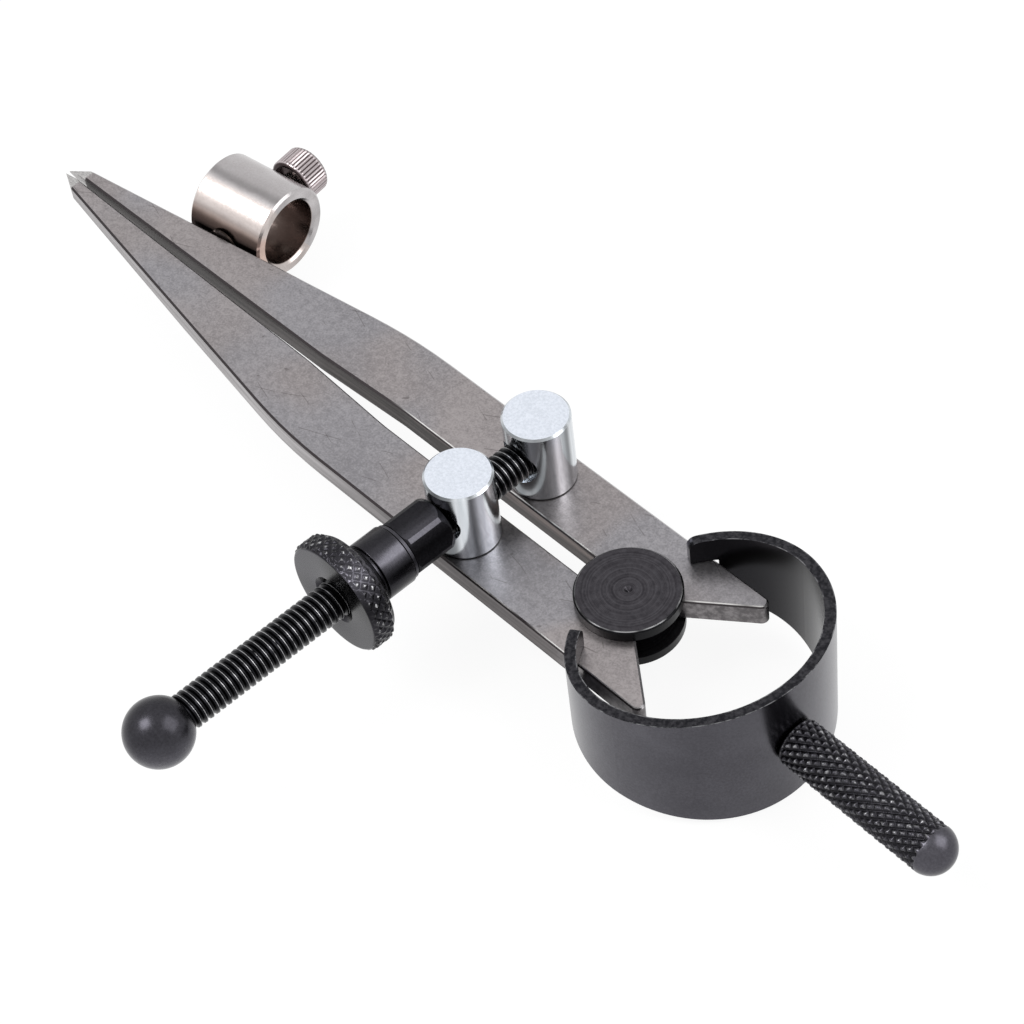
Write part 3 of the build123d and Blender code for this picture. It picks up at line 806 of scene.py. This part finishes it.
def turned_nut():
    """The nut: barrel, groove, cone and a disc with a fine diamond knurl on its rim."""
    width = (nut_high[1] - nut_low[1]) / MM
    rim = disc_width
    sink, sink_radius = 1.1, 4.3
    cone_radius = 6.8
    cone_end, groove_end, barrel_end = rim + 1.8, rim + 2.4, rim + 7.7
    outline = [
        (sink, nut_bore), (0, sink_radius), (0, disc_radius - 0.6), (0.6, disc_radius),
        (rim - 1.3, disc_radius), (rim, disc_radius - 1.3), (rim, cone_radius), (cone_end, barrel_radius),
        (cone_end, groove_radius), (groove_end, groove_radius), (groove_end, barrel_radius),
        (barrel_end, barrel_radius), (barrel_end, nut_spigot_radius), (width, nut_spigot_radius),
        (width, nut_bore), (sink, nut_bore),
    ]
    radii = [0, 0.15, 0.5, 0.2, 0.3, 0.6, 0.2, 0.15, 0.05, 0.05, 0.15, 0.15, 0.05, 0.05, 0, 0]
    corners = rounded(outline, radii)

    # Rows lie close together only on the disc, where the knurl needs them: more would make the export
    # thin the piece.
    fine = finely(corners, 0.16)
    on_disc = fine[:, 1] > disc_radius - 1.5
    at_corner = np.linalg.norm(fine[:, None] - corners[None], axis=2).min(axis=1) < 1e-6
    profile = fine[on_disc | at_corner]

    def relief(angle, distance, radius):
        on_rim = np.clip((radius - (disc_radius - 1.1)) / 0.4, 0, 1) * np.clip((distance - 0.1) / 0.2, 0, 1)
        height = diamonds(angle, distance, nut_ridges, nut_knurl_pitch)
        return nut_knurl_depth * (np.minimum(1, 1.3 * height) - 1) * on_rim

    origin = (screw_line[0], nut_low[1], screw_line[2])
    return turned("turned_nut", profile, origin, screw_way, "nut", nut_ridges * 16, relief, 50.0)


def knurled_thumb_head():
    """The thumb screw's head: a straight knurl of many fine teeth between smooth ends, hollow toward
    the collar.
    """
    outer, end = thumb_radius, thumb_length
    outline = [
        (thumb_recess, 1.9), (thumb_recess, thumb_recess_radius), (0, thumb_recess_radius), (0, outer - 0.4),
        (0.4, outer), (end - 0.4, outer), (end, outer - 0.4), (end, 0.001),
    ]

    def relief(angle, distance, radius):
        fade = faded(distance, 0.35, end - 0.3, 0.15) * (radius > outer - 0.15)
        return thumb_tooth_depth * (tooth(thumb_teeth * angle / (2 * pi)) ** 0.7 - 1) * fade

    profile = finely(outline, 0.3)
    steps = thumb_teeth * 8
    return turned("knurled_thumb_head", profile, thumb_start, thumb_out, "thumb_head", steps, relief, 50.0)


def screw_ball():
    """The ball: a full round, cut flat where the screw enters it."""
    flat = np.sqrt(ball_radius**2 - screw_radius**2)
    turn = np.linspace(-pi / 2, np.arcsin(flat / ball_radius), 60)
    profile = np.stack([ball_radius * np.sin(turn), ball_radius * np.cos(turn)], axis=1)
    profile[0, 1] = 0.001
    inside_thread = 2.45
    profile = np.concatenate([profile, [[flat, inside_thread]]])
    centre = (screw_line[0], ball_low[1] + ball_radius * MM, screw_line[2])
    return turned("screw_ball", profile, centre, screw_way, "far_post", 96, None, 40.0)


def dress(piece, node):
    """Puts a detailed piece in the place of its plain solid, which it hides."""
    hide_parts(node)
    return piece


grip = dress(knurled_grip(), "grip_handle")
screw = dress(threaded_screw(), "adjusting_screw")
nut = dress(turned_nut(), "knurled_nut")
thumb = dress(knurled_thumb_head(), "thumb_screw_head")
ball = dress(screw_ball(), "ball_end")


# Materials on the solids and pieces

near_middle = (post_low + post_high) / 2
far_middle = (far_post_low + far_post_high) / 2
small_black, _ = black_oxide("small_black", 0.8)
stem_nickel, _ = satin_nickel("satin_nickel", colour(0.54, 0.51, 0.48), colour(0.66, 0.63, 0.60))
paint(tumbled_steel(), "near_leg", "far_leg")
paint(spring_black(), "bow_spring")
paint(turned_dark(), "pivot_roller")
paint(bright_zinc("near_zinc", near_middle, near_post_bands), "near_post")
paint(bright_zinc("far_zinc", far_middle, far_post_bands), "far_post", "screw_pin")
paint(small_black, "near_post_clip", "far_post_clip", "nut_snap_ring", "handle_screw", "handle_lock_washer")
paint(cap_black(), "thrust_cap")
paint(stem_nickel, "thumb_screw_stem")
paint(brown_steel(), "collar_rivet", "collar_spacer")
paint(collar_nickel(), "pencil_collar")
paint(ball_black(), ball)
paint(nut_black(), nut)
paint(thumb_nickel(), thumb)
paint(grip_black(), grip)
paint(thread_black(), screw)


# Floor, light and camera


def seen_white(tree):
    """1 for what the camera, a reflection or a refraction sees, 0 for what only lights the object."""
    path = tree.nodes.new("ShaderNodeLightPath")
    camera_ray, glossy_ray, clear_ray = (
        Wire(tree, path.outputs[name]) for name in ("Is Camera Ray", "Is Glossy Ray", "Is Transmission Ray")
    )
    return camera_ray.maths("ADD", camera_ray + glossy_ray, clear_ray, clamp=True)


def floor():
    """A white sheet that glows for the camera and still keeps the object's shadow."""
    half, drop = 1.5, -0.0002
    mesh = bpy.data.meshes.new("floor")
    corners = [(-half, -half, drop), (half, -half, drop), (half, half, drop), (-half, half, drop)]
    mesh.from_pydata(corners, [], [(0, 1, 2, 3)])
    sheet = bpy.data.objects.new("floor", mesh)
    bpy.context.scene.collection.objects.link(sheet)
    material = bpy.data.materials.new("floor_white")
    material.use_nodes = True
    tree = material.node_tree
    tree.nodes.clear()
    share = seen_white(tree) * 0.88
    matte = share.node("BsdfDiffuse", {}, {"Color": colour(0.82, 0.82, 0.82)})
    glow = share.node("Emission", {}, {"Strength": 1.03})
    both = share.node("MixShader", {}, {0: share, 1: matte, 2: glow})
    out = tree.nodes.new("ShaderNodeOutputMaterial")
    tree.links.new(both.socket, out.inputs["Surface"])
    mesh.materials.append(material)


def world():
    """An even white room, a little dimmer as a light than as it is seen."""
    studio = bpy.data.worlds.new("studio")
    bpy.context.scene.world = studio
    studio.use_nodes = True
    tree = studio.node_tree
    tree.nodes.clear()
    strength = seen_white(tree).between(0.75, 1.0)
    room = strength.node("Background", {}, {"Color": colour(1, 1, 1), "Strength": strength})
    out = tree.nodes.new("ShaderNodeOutputWorld")
    tree.links.new(room.socket, out.inputs["Surface"])


def lamp(name, place, aim, size, power):
    """A square soft light that faces a point."""
    light = bpy.data.lights.new(name, "AREA")
    light.shape = "SQUARE"
    light.size = size
    light.energy = power
    holder = bpy.data.objects.new(name, light)
    bpy.context.scene.collection.objects.link(holder)
    holder.location = place
    holder.rotation_euler = (Vector(aim) - Vector(place)).to_track_quat("-Z", "Y").to_euler()


def camera():
    """The photograph's view: a long lens, above the grip's side of the tool."""
    eye = bpy.data.cameras.new("camera")
    eye.sensor_width = 36
    focal_pixels, picture_pixels = 3000, 1024
    eye.lens = focal_pixels / picture_pixels * eye.sensor_width
    eye.clip_end = 10
    holder = bpy.data.objects.new("camera", eye)
    bpy.context.scene.collection.objects.link(holder)
    right = Vector((0.67651, 0.73091, -0.09000))
    down = Vector((0.51822, -0.55932, -0.64700))
    forward = Vector((-0.52323, 0.39107, -0.75716))
    turn = Matrix((right, -down, -forward)).transposed().to_4x4()
    from_pivot = Vector((225.256, -188.602, 364.048)) * MM
    place = Vector((pivot[0], pivot[1], leg_top)) + from_pivot
    holder.matrix_world = Matrix.Translation(place) @ turn
    bpy.context.scene.camera = holder


floor()
world()
lamp("key", (-0.3, -0.5, 0.9), (0, 0, 0.02), 0.5, 6.0)
lamp("fill", (0.6, 0.5, 0.8), (0, 0, 0.02), 0.8, 5.0)
camera()
bpy.context.scene.view_settings.view_transform = "Standard"
